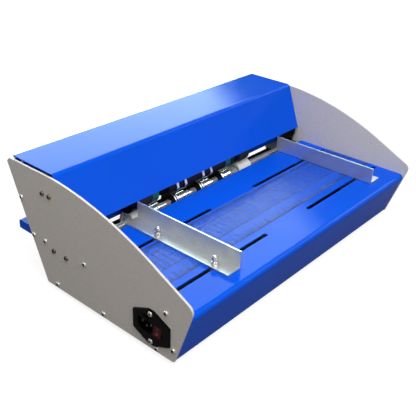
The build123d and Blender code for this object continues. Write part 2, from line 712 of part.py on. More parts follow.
def perf_wheel(x):
    """Toothed perforating blade that runs beside the anvil ring."""
    start = x + ANVIL_RING_LEN + PERF_SIDE_GAP
    tip = NIP_R + PERF_DEPTH
    blade = ring(tip, UPPER_SHAFT_R, SHAFT_Y, UPPER_Z, start, start + PERF_T)
    pitch = 360 / PERF_TEETH
    notch = Pos(0, tip) * Rectangle(2.0, 2 * (PERF_DEPTH + 0.6))
    for number in range(PERF_TEETH):
        cut = Pos(SHAFT_Y, UPPER_Z) * Rot(0, 0, number * pitch) * notch
        blade -= along_x(cut, start, start + PERF_T)
    return blade


def backing_ring(x):
    """Green polyurethane ring that presses the sheet beside the blade."""
    start = x + ANVIL_RING_LEN + PERF_SIDE_GAP + PERF_T + SLEEVE_GAP
    hub = ring(NIP_R - TYRE_NIP_GAP, UPPER_SHAFT_R, SHAFT_Y, UPPER_Z, start, start + BACKING_RING_LEN)
    rims = hub.edges().filter_by(GeomType.CIRCLE).filter_by(lambda edge: edge.radius > NIP_R - 1)
    return chamfer(rims, 0.8)


def tool_sleeves():
    """Phenolic sleeves that fill the upper shaft between its wheels."""
    blade_x = ANVIL_X[1] + ANVIL_RING_LEN + PERF_SIDE_GAP
    backing_end = blade_x + PERF_T + SLEEVE_GAP + BACKING_RING_LEN
    spans = (
        (SLEEVE_START_X, DIE_X[0] - SLEEVE_GAP),
        (DIE_X[0] + DIE_RING_LEN + SLEEVE_GAP, DIE_X[1] - SLEEVE_GAP),
        (DIE_X[1] + DIE_RING_LEN + SLEEVE_GAP, blade_x - SLEEVE_GAP),
        (backing_end + SLEEVE_GAP, PRESS_X[1] - SLEEVE_GAP),
    )
    return joined([ring(SLEEVE_R, UPPER_SHAFT_R, SHAFT_Y, UPPER_Z, *span) for span in spans])


# ---- gears -----------------------------------------------------------------------------------------------------
def involute_point(base_r, radius):
    """Angle of an involute flank at a radius, in radians."""
    pressure = acos(min(1.0, base_r / radius))
    return tan(pressure) - pressure


def gear_sketch(teeth, module, bore_r, start_angle):
    """Involute spur gear section centred on its own axis."""
    pitch_r = module * teeth / 2
    base_r = pitch_r * cos(radians(20))
    tip_r = pitch_r + module * GEAR_ADDENDUM
    root_r = pitch_r - module * (GEAR_ADDENDUM + 0.25)
    half_tooth = pi / (2 * teeth) - BACKLASH / (2 * pitch_r)
    pitch_involute = involute_point(base_r, pitch_r)
    flank = []
    steps = 3
    for step in range(steps + 1):
        radius = base_r + (tip_r - base_r) * step / steps
        angle = half_tooth + pitch_involute - involute_point(base_r, radius)
        flank.append((radius, angle))
    foot = (root_r, flank[0][1] + 0.02)
    outline = []
    for tooth in range(teeth):
        middle = radians(start_angle) + 2 * pi * tooth / teeth
        for radius, angle in (foot, *flank):
            outline.append((radius * cos(middle - angle), radius * sin(middle - angle)))
        for radius, angle in reversed((foot, *flank)):
            outline.append((radius * cos(middle + angle), radius * sin(middle + angle)))
    return make_face(Polyline(*outline, close=True)) - Circle(bore_r)


def shaft_gear(shaft_z, bore_r, start_angle):
    """Spur gear on the end of a shaft, beside the right-hand plate."""
    end = INNER_X - BLOCK_T - GEAR_BLOCK_GAP
    section = gear_sketch(GEAR_TEETH, GEAR_MODULE, bore_r, start_angle)
    return along_x(Pos(SHAFT_Y, shaft_z) * section, end - GEAR_LEN, end)


# ---- bearing blocks ------------------------------------------------------------------------------
def bearing_block():
    """Block on the inside of the right-hand plate that carries both shafts."""
    foot_low, foot_high = BLOCK_FOOT_Z
    wide = block((INNER_X - BLOCK_T, INNER_X), (SHAFT_Y - BLOCK_WIDE / 2, SHAFT_Y + BLOCK_WIDE / 2), BLOCK_FOOT_Z)
    top = UPPER_Z + BLOCK_TOP_ROOM
    neck_y = (SHAFT_Y - BLOCK_NARROW / 2, SHAFT_Y + BLOCK_NARROW / 2)
    neck = block((INNER_X - BLOCK_T, INNER_X), neck_y, (foot_low, top))
    body = wide + neck
    upright = body.edges().filter_by(Axis.X)
    ends = upright.group_by(Axis.Z)[-1] + upright.group_by(Axis.Z)[0].sort_by(Axis.Y)[0::3]
    body = fillet(ends, 4.0)
    body -= rod(LOWER_SHAFT_R + BORE_CLEAR, SHAFT_Y, LOWER_Z, INNER_X - BLOCK_T, INNER_X)
    body -= rod(UPPER_SHAFT_R + BORE_CLEAR, SHAFT_Y, UPPER_Z, INNER_X - BLOCK_T, INNER_X)
    for y, z in block_bolt_places():
        body -= rod(SCREW_R + SCREW_HOLE_CLEAR, y, z, INNER_X - BLOCK_T, INNER_X)
    return body


# ---- drive -----------------------------------------------------------------------------------------------------------
def pulley(y, z, radius, bore_r):
    """Flanged belt pulley."""
    left = PULLEY_X - PULLEY_W / 2
    right = PULLEY_X + PULLEY_W / 2
    wheel = ring(radius, bore_r, y, z, left, right)
    rim = ring(radius + PULLEY_RIM, bore_r, y, z, left, left + PULLEY_RIM_T)
    far_rim = ring(radius + PULLEY_RIM, bore_r, y, z, right - PULLEY_RIM_T, right)
    return wheel + rim + far_rim


def belt():
    """Drive belt: a closed band round both pulleys."""
    centres = ((MOTOR_Y, MOTOR_Z), (SHAFT_Y, LOWER_Z))
    radii = (MOTOR_PULLEY_R, SHAFT_PULLEY_R)
    span = hypot(centres[1][0] - centres[0][0], centres[1][1] - centres[0][1])
    slope = atan2(centres[1][1] - centres[0][1], centres[1][0] - centres[0][0])

    def loop(extra):
        small, large = (radius + extra for radius in radii)
        tilt = acos((small - large) / span)
        ends = []
        for centre, radius in zip(centres, (small, large)):
            for sign in (1, -1):
                angle = slope + sign * tilt
                ends.append((centre[0] + radius * cos(angle), centre[1] + radius * sin(angle)))
        a_up, a_low, b_up, b_low = ends
        a_far = (centres[0][0] - small * cos(slope), centres[0][1] - small * sin(slope))
        b_far = (centres[1][0] + large * cos(slope), centres[1][1] + large * sin(slope))
        return make_face([
            Line(a_up, b_up),
            ThreePointArc(b_up, b_far, b_low),
            Line(b_low, a_low),
            ThreePointArc(a_low, a_far, a_up),
        ])

    band = loop(BELT_CLEAR + BELT_T) - loop(BELT_CLEAR)
    return along_x(band, PULLEY_X - BELT_W / 2, PULLEY_X + BELT_W / 2)


def motor_right_x():
    """X of the gearbox's output face."""
    return PULLEY_X - PULLEY_W / 2 - BRACKET_T - 3.0


def motor():
    """Gear motor under the feed table, lying parallel to the shafts."""
    face = motor_right_x()
    gearbox = rod(GEARBOX_R, MOTOR_Y, MOTOR_Z, face - GEARBOX_LEN, face)
    can = rod(MOTOR_R, MOTOR_Y, MOTOR_Z, face - GEARBOX_LEN - MOTOR_LEN, face - GEARBOX_LEN)
    can = chamfer(can.edges().filter_by(GeomType.CIRCLE), 2.0)
    cap = rod(MOTOR_R * 0.5, MOTOR_Y, MOTOR_Z, face - GEARBOX_LEN - MOTOR_LEN - 4, face - GEARBOX_LEN - MOTOR_LEN)
    return gearbox + can + cap


def motor_bracket():
    """Angle bracket from the gearbox face down to the base pan."""
    face = motor_right_x()
    low = PAN_Z + SHEET_T
    width = (MOTOR_Y - 28, MOTOR_Y + 28)
    upright = block((face, face + BRACKET_T), width, (low, MOTOR_Z + 26))
    foot = block((face - 34, face), width, (low, low + BRACKET_T))
    upright -= rod(MOTOR_SHAFT_R + 4, MOTOR_Y, MOTOR_Z, face, face + BRACKET_T)
    return upright + foot


def motor_shaft():
    """Output shaft of the gearbox."""
    face = motor_right_x()
    return rod(MOTOR_SHAFT_R, MOTOR_Y, MOTOR_Z, face + 0.4, PULLEY_X + PULLEY_W / 2 + 1)


# ---- power inlet --------------------------------------------------------------------------------------------------------
def inlet_outline():
    """Six-sided flange with its two screw ears."""
    half = INLET_LONG / 2
    side = INLET_SIDE / 2
    tall = INLET_TALL / 2
    ear = INLET_EAR / 2
    corners = [
        (-half, -side), (-ear, -tall), (ear, -tall),
        (half, -side), (half, side), (ear, tall), (-ear, tall), (-half, side),
    ]
    outline = make_face(Polyline(*corners, close=True))
    return fillet(outline.vertices(), 2.0)


def socket_outline(extra=0.0):
    """Opening of the three-pin inlet, its two lower corners cut."""
    wide, high = (side / 2 + extra for side in SOCKET)
    cut = SOCKET_CORNER
    corners = (
        (-wide + cut, -high), (wide - cut, -high), (wide, -high + cut),
        (wide, high), (-wide, high), (-wide, -high + cut),
    )
    return Pos(SOCKET_Y, SOCKET_Z) * make_face(Polyline(*corners, close=True))


def power_inlet():
    """Black inlet housing: flange, body, socket, rocker pocket and fuse pocket."""
    outer = -OUTER_X - INLET_FLANGE_T
    inner = -OUTER_X + INLET_BODY_DEPTH
    flange = along_x(Pos(INLET_Y, INLET_Z) * inlet_outline(), outer, -OUTER_X)
    flange = chamfer(flange.edges().group_by(Axis.X)[0], 0.5)
    body = along_x(Pos(INLET_Y, INLET_Z) * RectangleRounded(*INLET_BODY, 1.0), -OUTER_X, inner)
    housing = flange + body
    housing -= along_x(socket_outline(), outer, outer + SOCKET_DEPTH)
    rocker = Pos(ROCKER_Y, INLET_Z) * Rectangle(*[side + 2 * ROCKER_CLEAR for side in ROCKER])
    housing -= along_x(rocker, outer, outer + ROCKER_POCKET_DEPTH)
    pivot = Pos(outer + ROCKER_PIVOT_IN, ROCKER_Y - ROCKER[0] / 2 - 1.6, INLET_Z)
    bore = extrude(Plane.XZ * Circle(ROCKER_PIVOT_R + BORE_CLEAR), -(ROCKER[0] + 3.2))
    housing -= pivot * bore
    fuse = Pos(SOCKET_Y, FUSE_Z) * Rectangle(*[side + 2 * FUSE_CLEAR for side in FUSE])
    housing -= along_x(fuse, outer, outer + FUSE_DEPTH + 0.5)
    for sign in (-1, 1):
        z = INLET_Z + sign * INLET_SCREW_PITCH / 2
        housing -= rod(SCREW_R + SCREW_HOLE_CLEAR, INLET_Y, z, outer, -OUTER_X)
    return housing


def inlet_pins():
    """Three flat contact pins standing in the socket."""
    floor = -OUTER_X - INLET_FLANGE_T + SOCKET_DEPTH
    section = Rectangle(*PIN)
    places = (
        (SOCKET_Y - PIN_SPREAD, SOCKET_Z + PIN_STEP / 2),
        (SOCKET_Y, SOCKET_Z - PIN_STEP / 2),
        (SOCKET_Y + PIN_SPREAD, SOCKET_Z + PIN_STEP / 2),
    )
    return joined([along_x(Pos(*place) * section, floor - PIN_LEN, floor) for place in places])


def rocker_switch():
    """Red rocker with a shallow V crown, on two stub pivots."""
    outer = -OUTER_X - INLET_FLANGE_T
    half = ROCKER[1] / 2
    pivot_x = outer + ROCKER_PIVOT_IN
    rise = half * tan(radians(ROCKER_TILT))
    crown = -ROCKER_PIVOT_IN - 0.3
    corners = (
        (crown, 0), (crown - rise * 0.9, half), (4.0, half * 0.72),
        (6.0, 0), (4.0, -half * 0.72), (crown - rise * 0.9, -half),
    )
    section = make_face(Polyline(*corners, close=True))
    low_y = ROCKER_Y - ROCKER[0] / 2
    body = Pos(0, low_y, 0) * extrude(Plane.XZ * section, -ROCKER[0])
    stub = Pos(0, low_y - 1.5, 0) * extrude(Plane.XZ * Circle(ROCKER_PIVOT_R), -(ROCKER[0] + 3.0))
    return Pos(pivot_x, 0, INLET_Z) * Rot(0, ROCKER_TILT, 0) * (body + stub)


def fuse_drawer():
    """Fuse drawer above the socket, with a small lip to pull it by."""
    outer = -OUTER_X - INLET_FLANGE_T
    drawer = along_x(Pos(SOCKET_Y, FUSE_Z) * Rectangle(*FUSE), outer, outer + FUSE_DEPTH)
    lip = along_x(Pos(SOCKET_Y, FUSE_Z) * Rectangle(8.0, FUSE[1]), outer - FUSE_LIP, outer)
    return drawer + lip


def inlet_screws():
    """Two plain screws that hold the inlet in the left plate."""
    outer = OUTER_X + INLET_FLANGE_T
    screws = []
    for sign in (-1, 1):
        z = INLET_Z + sign * INLET_SCREW_PITCH / 2
        head = rod(SCREW_HEAD_R, INLET_Y, z, outer, outer + 1.6)
        head = chamfer(head.edges().group_by(Axis.X)[-1], 0.7)
        shank = rod(SCREW_R, INLET_Y, z, INNER_X - SCREW_GRIP, outer)
        screws.append(mirrored(head + shank))
    return joined(screws)


# ---- feet ----------------------------------------------------------------------------------------------------------------
def rubber_foot(x, y):
    """Round rubber foot screwed to the base pan."""
    foot = post(FOOT_R, x, y, -FOOT_H, PAN_Z)
    foot = chamfer(foot.edges().group_by(Axis.Z)[0], 1.2)
    recess = post(3.0, x, y, -FOOT_H, -FOOT_H + 3.0)
    return foot - recess


def build():
    """Build and write every node."""
    save("left_side_plate", left_plate())
    save("right_side_plate", side_plate())
    save("plate_screws", plate_screws())
    save("dark_bolts", dark_bolts())
    save("feed_table", feed_table())
    save("table_ruler", ruler())
    save("delivery_tray", delivery_tray())
    save("base_pan", base_pan())
    save("rear_panel", rear_panel())
    save("crossbar", crossbar())
    save("cover_bumpers", cover_bumpers())
    save("hold_down_fingers", hold_down_fingers())
    save("top_cover", top_cover())
    save("hinge_frame_leaf", frame_leaf())
    save("hinge_cover_leaf", cover_leaf())
    save("hinge_pin", hinge_pin())
    for side, face_x, outward in (("left", LEFT_GUIDE_X, -1), ("right", RIGHT_GUIDE_X, 1)):
        save(f"{side}_guide_angle", guide_angle(face_x, outward))
        save(f"{side}_guide_studs", guide_studs(face_x, outward))
        save(f"{side}_guide_nuts", guide_nuts(face_x, outward))
        save(f"{side}_guide_clamps", guide_clamps(face_x, outward))
    save("lower_shaft", lower_shaft())
    save("upper_shaft", upper_shaft())
    for index, side in enumerate(("left", "right")):
        save(f"{side}_feed_roller", feed_roller(FEED_ROLLER_X[index]))
        save(f"{side}_crease_die", crease_die(DIE_X[index]))
        save(f"{side}_crease_wheel", crease_wheel(DIE_X[index]))
        save(f"{side}_perf_anvil", perf_anvil(ANVIL_X[index]))
        save(f"{side}_perf_wheel", perf_wheel(ANVIL_X[index]))
        save(f"{side}_press_hub", press_hub(PRESS_X[index]))
        save(f"{side}_press_tyre", press_tyre(PRESS_X[index]))
        save(f"{side}_backing_ring", backing_ring(ANVIL_X[index]))
    save("tool_collars", tool_collars())
    save("tool_sleeves", tool_sleeves())
    save("lower_gear", shaft_gear(LOWER_Z, LOWER_SHAFT_R, 90))
    save("upper_gear", shaft_gear(UPPER_Z, UPPER_SHAFT_R, -90 + 180 / GEAR_TEETH))
    save("right_bearing_block", bearing_block())
    save("left_bearing_block", mirrored(bearing_block()))
    save("shaft_pulley", pulley(SHAFT_Y, LOWER_Z, SHAFT_PULLEY_R, LOWER_SHAFT_R))
    save("motor_pulley", pulley(MOTOR_Y, MOTOR_Z, MOTOR_PULLEY_R, MOTOR_SHAFT_R))
    save("motor_shaft", motor_shaft())
    save("drive_belt", belt())
    save("gear_motor", motor())
    save("motor_bracket", motor_bracket())
    save("power_inlet", power_inlet())
    save("inlet_pins", inlet_pins())
    save("rocker_switch", rocker_switch())
    save("fuse_drawer", fuse_drawer())
    save("inlet_screws", inlet_screws())
    feet = [rubber_foot(x, y) for x in (-FOOT_X, FOOT_X) for y in FOOT_Y]
    save("rubber_feet", joined(feet))


os.makedirs("parts", exist_ok=True)
build()
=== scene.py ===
import bpy
import bmesh
from math import cos, sin, pi, radians
from mathutils import Matrix, Vector


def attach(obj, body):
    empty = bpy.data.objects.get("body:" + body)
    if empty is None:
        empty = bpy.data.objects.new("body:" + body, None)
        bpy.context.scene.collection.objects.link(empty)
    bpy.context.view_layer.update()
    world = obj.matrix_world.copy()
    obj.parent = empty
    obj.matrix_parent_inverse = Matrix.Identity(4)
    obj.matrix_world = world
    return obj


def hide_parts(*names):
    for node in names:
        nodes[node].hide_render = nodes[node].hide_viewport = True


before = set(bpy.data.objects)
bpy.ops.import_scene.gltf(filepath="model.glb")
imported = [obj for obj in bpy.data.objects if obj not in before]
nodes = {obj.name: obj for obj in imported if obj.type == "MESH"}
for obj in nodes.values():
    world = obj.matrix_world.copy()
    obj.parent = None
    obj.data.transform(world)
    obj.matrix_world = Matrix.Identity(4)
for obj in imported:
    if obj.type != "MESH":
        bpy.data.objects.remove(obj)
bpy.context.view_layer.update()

# Construction coordinates (millimetres, X = 0 in mid width, Y = 0 and Z = 0 at the side
# plates' front lower corner) to the frame's metres.
SHIFT = Vector((1.45, -136.7, 8.0))

# Places in construction millimetres.
PLATE_OUTER_X = 254.0
SHAFT_Y = 202.3
LOWER_SHAFT_Z = 56.0
RULER_TOP_Z = 73.6
RULER_HALF = 250.0
RULER_LINES = (116.0, 102.0, 66.0, 42.0)
GUIDE_FOOT_TOP_Z = 75.9
LEFT_GUIDE_X = -137.0
RIGHT_GUIDE_X = 183.0
SLOT_ROWS = (27.0, 124.8)
STUD_FROM_FACE = 17.5
PLATE_SCREWS = (
    (27.5, 5.0), (120.9, 5.6), (212.2, 6.2), (12.5, 65.0), (153.2, 65.0),
    (1.0, 17.6), (231.1, 65.4), (255.5, 65.4), (275.3, 114.6),
)
DARK_BOLTS = ((189.9, 57.6), (214.7, 57.6), (214.8, 136.6), (228.6, 136.6))
INLET_SCREWS = ((35.5, 13.0), (35.5, 53.0))
INLET_FLANGE_T = 2.5

# Fasteners, in millimetres.
THREAD_BAND_MM = 0.8    # half a period of the studs' thread pattern
HEAD_R = 3.5
HEAD_H = 2.2
INLET_HEAD_H = 1.6
SOCKET_ACROSS = 3.6
SOCKET_DEPTH = 1.5
CROSS_LENGTH = 4.2
CROSS_WIDTH = 1.2
CROSS_DEPTH = 0.9
SHANK_R = 2.0
PLATE_SHANK = 6.5
BOLT_SHANK = 7.0
INLET_SHANK = 7.5
# From RECESS_RING on, a screw's recess is painted dark as shade.
RECESS_RING = 8    # ring of head_rings() at which the dark recess starts
NO_PAINTED_SHADE = 99
SHARP_ANGLE = 38   # degrees

# Marks on the rocker, in metres; BAR_AT and RING_AT are shares of its height.
MARK_LIFT = 0.00003
BAR_AT = 0.74
BAR_HALF_W = 0.0005
BAR_STEP = 0.0004
RING_AT = 0.27
RING_RADII = (0.0011, 0.0018)

# Print on the ruler, in millimetres: (length, half width) of a tick.
PRINT_LIFT = 0.02
RULER_MARGIN = 2
TICK_STEP = 2
LONG_TICK = (10.0, 0.6)
SHORT_TICK = (4.5, 0.25)
LINE_HALF_W = 0.6
GRID_HALF_W = 0.25
NUMBERS_BELOW_REAR_LINE = 13.0
NUMBERS_ABOVE_FRONT_LINE = 10.5
NUMBER_SIZE = 0.0045     # metres
SLIVER_AREA = 1e-11      # square metres: triangles of no visible width in the glyphs

# Camera, fitted to the photograph: degrees, construction millimetres and pixels.
CAMERA_YAW = 49.83
CAMERA_PITCH = 28.92
CAMERA_ROLL = 2.07
CAMERA_PLACE = (-676.2, -399.4, 526.2)
FOCAL_PIXELS = 661.4
FRAME_PIXELS = 416
SENSOR_MM = 36.0

# Surroundings. Glossy rays do not see the plain white background: they see a sky that is white
# at the horizon and dim above it, and a floor that is dim near the object, a painted shade for
# its contact shadow. Diffuse rays see AMBIENT and a dark floor.
AMBIENT = (0.30, 0.30, 0.30, 1)    # glow on matt surfaces
GLOSS_SKY = ((0.10, 1.0), (0.24, 0.16), (0.75, 0.16), (0.95, 0.8))    # (upward part, level)
CARD_DISTANCE = 8.0
CARD_DIM = 0.15                    # strength of a card beyond its slanted edge
FLOOR_REACH = 6.0


def at(x, y, z):
    """Point in the frame, in metres, from construction coordinates in millimetres."""
    return (Vector((x, y, z)) + SHIFT) / 1000


# ---- camera ------------------------------------------------------------------------------
def make_camera():
    """Camera at the calibrated place, looking down the fitted direction."""
    yaw, pitch, roll = radians(CAMERA_YAW), radians(CAMERA_PITCH), radians(CAMERA_ROLL)
    forward = Vector((sin(yaw) * cos(pitch), cos(yaw) * cos(pitch), -sin(pitch)))
    level = Vector((cos(yaw), -sin(yaw), 0))
    upward = level.cross(forward)
    right = cos(roll) * level + sin(roll) * upward
    top = -sin(roll) * level + cos(roll) * upward
    data = bpy.data.cameras.new("camera")
    data.sensor_width = SENSOR_MM
    data.lens = FOCAL_PIXELS / FRAME_PIXELS * SENSOR_MM
    data.clip_start = 0.01
    camera = bpy.data.objects.new("camera", data)
    axes = Matrix((right, top, -forward)).transposed().to_4x4()
    camera.matrix_world = Matrix.Translation(at(*CAMERA_PLACE)) @ axes
    bpy.context.collection.objects.link(camera)
    bpy.context.scene.camera = camera
    bpy.context.scene.view_settings.view_transform = "Standard"


# ---- materials ---------------------------------------------------------------------------
def srgb(red, green, blue):
    """Linear colour from 0-255 screen values."""
    def linear(v):
        return ((v / 255 + 0.055) / 1.055) ** 2.4 if v > 10 else v / 255 / 12.92
    return (linear(red), linear(green), linear(blue), 1)


def set_range(node, *limits):
    """Set a Map Range node's From Min, From Max, To Min and To Max."""
    for key, value in zip(("From Min", "From Max", "To Min", "To Max"), limits):
        node.inputs[key].default_value = value


class Paint:
    """A principled material with helpers for procedural detail in object space."""

    def __init__(self, name, color, roughness=0.5, metallic=0.0):
        self.mat = bpy.data.materials.new(name)
        self.mat.use_nodes = True
        self.tree = self.mat.node_tree
        self.shader = self.tree.nodes["Principled BSDF"]
        self.color = color
        self.shader.inputs["Base Color"].default_value = color
        self.shader.inputs["Roughness"].default_value = roughness
        self.shader.inputs["Metallic"].default_value = metallic
        self.coords = self.new("ShaderNodeTexCoord").outputs["Object"]

    def new(self, kind, **values):
        node = self.tree.nodes.new(kind)
        for key, value in values.items():
            setattr(node, key, value)
        return node

    def link(self, source, target):
        self.tree.links.new(source, target)

    def set(self, **values):
        for key, value in values.items():
            self.shader.inputs[key.replace("_", " ")].default_value = value
        return self

    def noise(self, scale, detail, stretch=(1, 1, 1)):
        """Noise in object space; scale is in features per metre."""
        mapping = self.new("ShaderNodeMapping")
        mapping.inputs["Scale"].default_value = stretch
        self.link(self.coords, mapping.inputs["Vector"])
        node = self.new("ShaderNodeTexNoise")
        node.inputs["Scale"].default_value = scale
        node.inputs["Detail"].default_value = detail
        node.inputs["Roughness"].default_value = 0.5
        self.link(mapping.outputs["Vector"], node.inputs["Vector"])
        return node.outputs["Fac"]

    def spread(self, source, low, high, to_low, to_high):
        node = self.new("ShaderNodeMapRange")
        set_range(node, low, high, to_low, to_high)
        self.link(source, node.inputs["Value"])
        return node.outputs["Result"]

    def mix(self, factor, first, second):
        node = self.new("ShaderNodeMix", data_type="RGBA")
        for socket, value in ((node.inputs[6], first), (node.inputs[7], second)):
            if isinstance(value, tuple):
                socket.default_value = value
            else:
                self.link(value, socket)
        self.link(factor, node.inputs[0])
        return node.outputs[2]

    def tint(self, source, amount):
        """Colour that drifts lighter and darker with a noise."""
        dark = tuple(c * (1 - amount) for c in self.color[:3]) + (1,)
        light = tuple(min(1.0, c * (1 + amount)) for c in self.color[:3]) + (1,)
        self.out = self.mix(self.spread(source, 0.3, 0.7, 0, 1), dark, light)
        self.link(self.out, self.shader.inputs["Base Color"])
        return self

    def speckle(self, source, threshold, color, width=0.03):
        """Spots of another colour on a tinted paint, where a noise passes a threshold."""
        spots = self.spread(source, threshold, threshold + width, 0, 1)
        self.out = self.mix(spots, self.out, color)
        self.link(self.out, self.shader.inputs["Base Color"])
        return self

    def vary_roughness(self, source, low, high):
        self.link(self.spread(source, 0.3, 0.7, low, high), self.shader.inputs["Roughness"])
        return self

    def bump(self, source, height_mm):
        """Bump from a 0-1 source whose full swing is height_mm."""
        node = self.new("ShaderNodeBump")
        node.inputs["Strength"].default_value = 1.0
        node.inputs["Distance"].default_value = height_mm / 1000
        self.link(source, node.inputs["Height"])
        self.link(node.outputs["Normal"], self.shader.inputs["Normal"])
        return self


def blue_enamel():
    """Glossy blue stove enamel with a faint orange peel; its IOR is lower than real enamel's."""
    paint = Paint("blue_enamel", srgb(10, 90, 230), 0.1)
    paint.set(IOR=1.13)
    paint.tint(paint.noise(6, 3), 0.04)
    paint.vary_roughness(paint.noise(35, 5), 0.08, 0.13)
    paint.bump(paint.noise(260, 2), 0.006)
    return paint.mat


def grey_powder():
    """Fine-textured warm grey powder coat of the side plates."""
    paint = Paint("grey_powder", srgb(225, 218, 212), 0.5)
    paint.set(Specular_IOR_Level=0.3)
    paint.tint(paint.noise(700, 2), 0.09)
    paint.speckle(paint.noise(900, 2), 0.66, srgb(188, 182, 177))
    paint.vary_roughness(paint.noise(60, 4), 0.42, 0.58)
    paint.bump(paint.noise(1500, 3), 0.02)
    return paint.mat


def black_coat():
    """Matt black powder coat of the base pan."""
    paint = Paint("black_coat", srgb(24, 24, 27), 0.55)
    paint.tint(paint.noise(40, 4), 0.2)
    paint.vary_roughness(paint.noise(90, 4), 0.45, 0.65)
    paint.bump(paint.noise(1400, 3), 0.03)
    return paint.mat


def metal(name, color, roughness, grain_mm=0.002, metallic=1.0):
    """Bare metal with a fine grain."""
    paint = Paint(name, color, roughness, metallic)
    lines = paint.noise(2200, 2)
    paint.tint(paint.noise(120, 4), 0.06)
    paint.vary_roughness(lines, roughness * 0.75, roughness * 1.35)
    paint.bump(lines, grain_mm)
    return paint.mat


def satin_aluminium():
    """Extruded aluminium with faint streaks along its length and a mottled satin skin."""
    paint = Paint("satin_aluminium", srgb(216, 219, 218), 0.4, 0.8)
    streaks = paint.noise(900, 3, (1, 0.04, 1))
    paint.tint(paint.noise(70, 5), 0.05)
    paint.vary_roughness(paint.noise(240, 4), 0.36, 0.46)
    paint.bump(streaks, 0.0006)
    return paint.mat


def black_oxide_ring(name, tread_mm):
    """Blackened steel whose ground tread is bright past a radius from the lower shaft."""
    paint = Paint(name, srgb(46, 42, 40), 0.4, 1.0)
    axis = at(0, SHAFT_Y, LOWER_SHAFT_Z)
    split = paint.new("ShaderNodeSeparateXYZ")
    paint.link(paint.coords, split.inputs[0])
    radius = paint.new("ShaderNodeCombineXYZ")
    across = ((split.outputs[1], axis.y), (split.outputs[2], axis.z))
    for index, (source, middle) in enumerate(across):
        shift = paint.new("ShaderNodeMath", operation="SUBTRACT")
        paint.link(source, shift.inputs[0])
        shift.inputs[1].default_value = middle
        paint.link(shift.outputs[0], radius.inputs[index])
    length = paint.new("ShaderNodeVectorMath", operation="LENGTH")
    paint.link(radius.outputs[0], length.inputs[0])
    reach = length.outputs["Value"]
    bright = paint.spread(reach, (tread_mm - 0.2) / 1000, tread_mm / 1000, 0, 1)
    paint.tint(paint.noise(160, 4), 0.2)
    paint.out = paint.mix(bright, paint.out, srgb(200, 203, 208))
    paint.link(paint.out, paint.shader.inputs["Base Color"])
    paint.vary_roughness(paint.noise(900, 3), 0.24, 0.4)
    paint.bump(paint.noise(1800, 2), 0.003)
    return paint.mat


def threaded_zinc():
    """Zinc-plated stud whose thread is a band pattern along Z, two THREAD_BAND_MM to a period."""
    paint = Paint("threaded_zinc", srgb(196, 194, 186), 0.28, 1.0)
    wave = paint.new(
        "ShaderNodeTexWave", wave_type="BANDS", bands_direction="Z", wave_profile="SIN"
    )
    paint.link(paint.coords, wave.inputs["Vector"])
    wave.inputs["Scale"].default_value = 1 / THREAD_BAND_MM * 1000 / 20 * pi
    paint.tint(paint.noise(300, 3), 0.1)
    paint.bump(wave.outputs["Fac"], 0.25)
    return paint.mat


def plastic(name, color, roughness, peel_mm=0.01, spread=0.08, ior=1.5):
    """Moulded plastic or rubber with a fine skin."""
    paint = Paint(name, color, roughness)
    paint.set(IOR=ior)
    paint.tint(paint.noise(160, 4), spread)
    paint.vary_roughness(paint.noise(260, 3), roughness * 0.8, min(1.0, roughness * 1.2))
    paint.bump(paint.noise(2500, 2), peel_mm)
    return paint.mat


def clear_acrylic():
    """Clear acrylic sheet of the ruler: a faint film with soft reflections."""
    paint = Paint("clear_acrylic", srgb(150, 190, 235), 0.3)
    paint.set(Alpha=0.07, IOR=1.3)
    paint.vary_roughness(paint.noise(50, 4), 0.26, 0.36)
    paint.bump(paint.noise(40, 1), 0.0012)
    return paint.mat


def scale_ink():
    """Dark blue ink of the ruler's graduations, worn thin in places."""
    paint = Paint("scale_ink", srgb(22, 40, 84), 0.5)
    paint.tint(paint.noise(60, 3), 0.3)
    worn = paint.spread(paint.noise(90, 4), 0.3, 0.7, 0.6, 1.0)
    paint.link(worn, paint.shader.inputs["Alpha"])
    return paint.mat


def wear(node, material):
    """Give every slot of a CAD node a material."""
    for slot in nodes[node].material_slots:
        slot.material = material


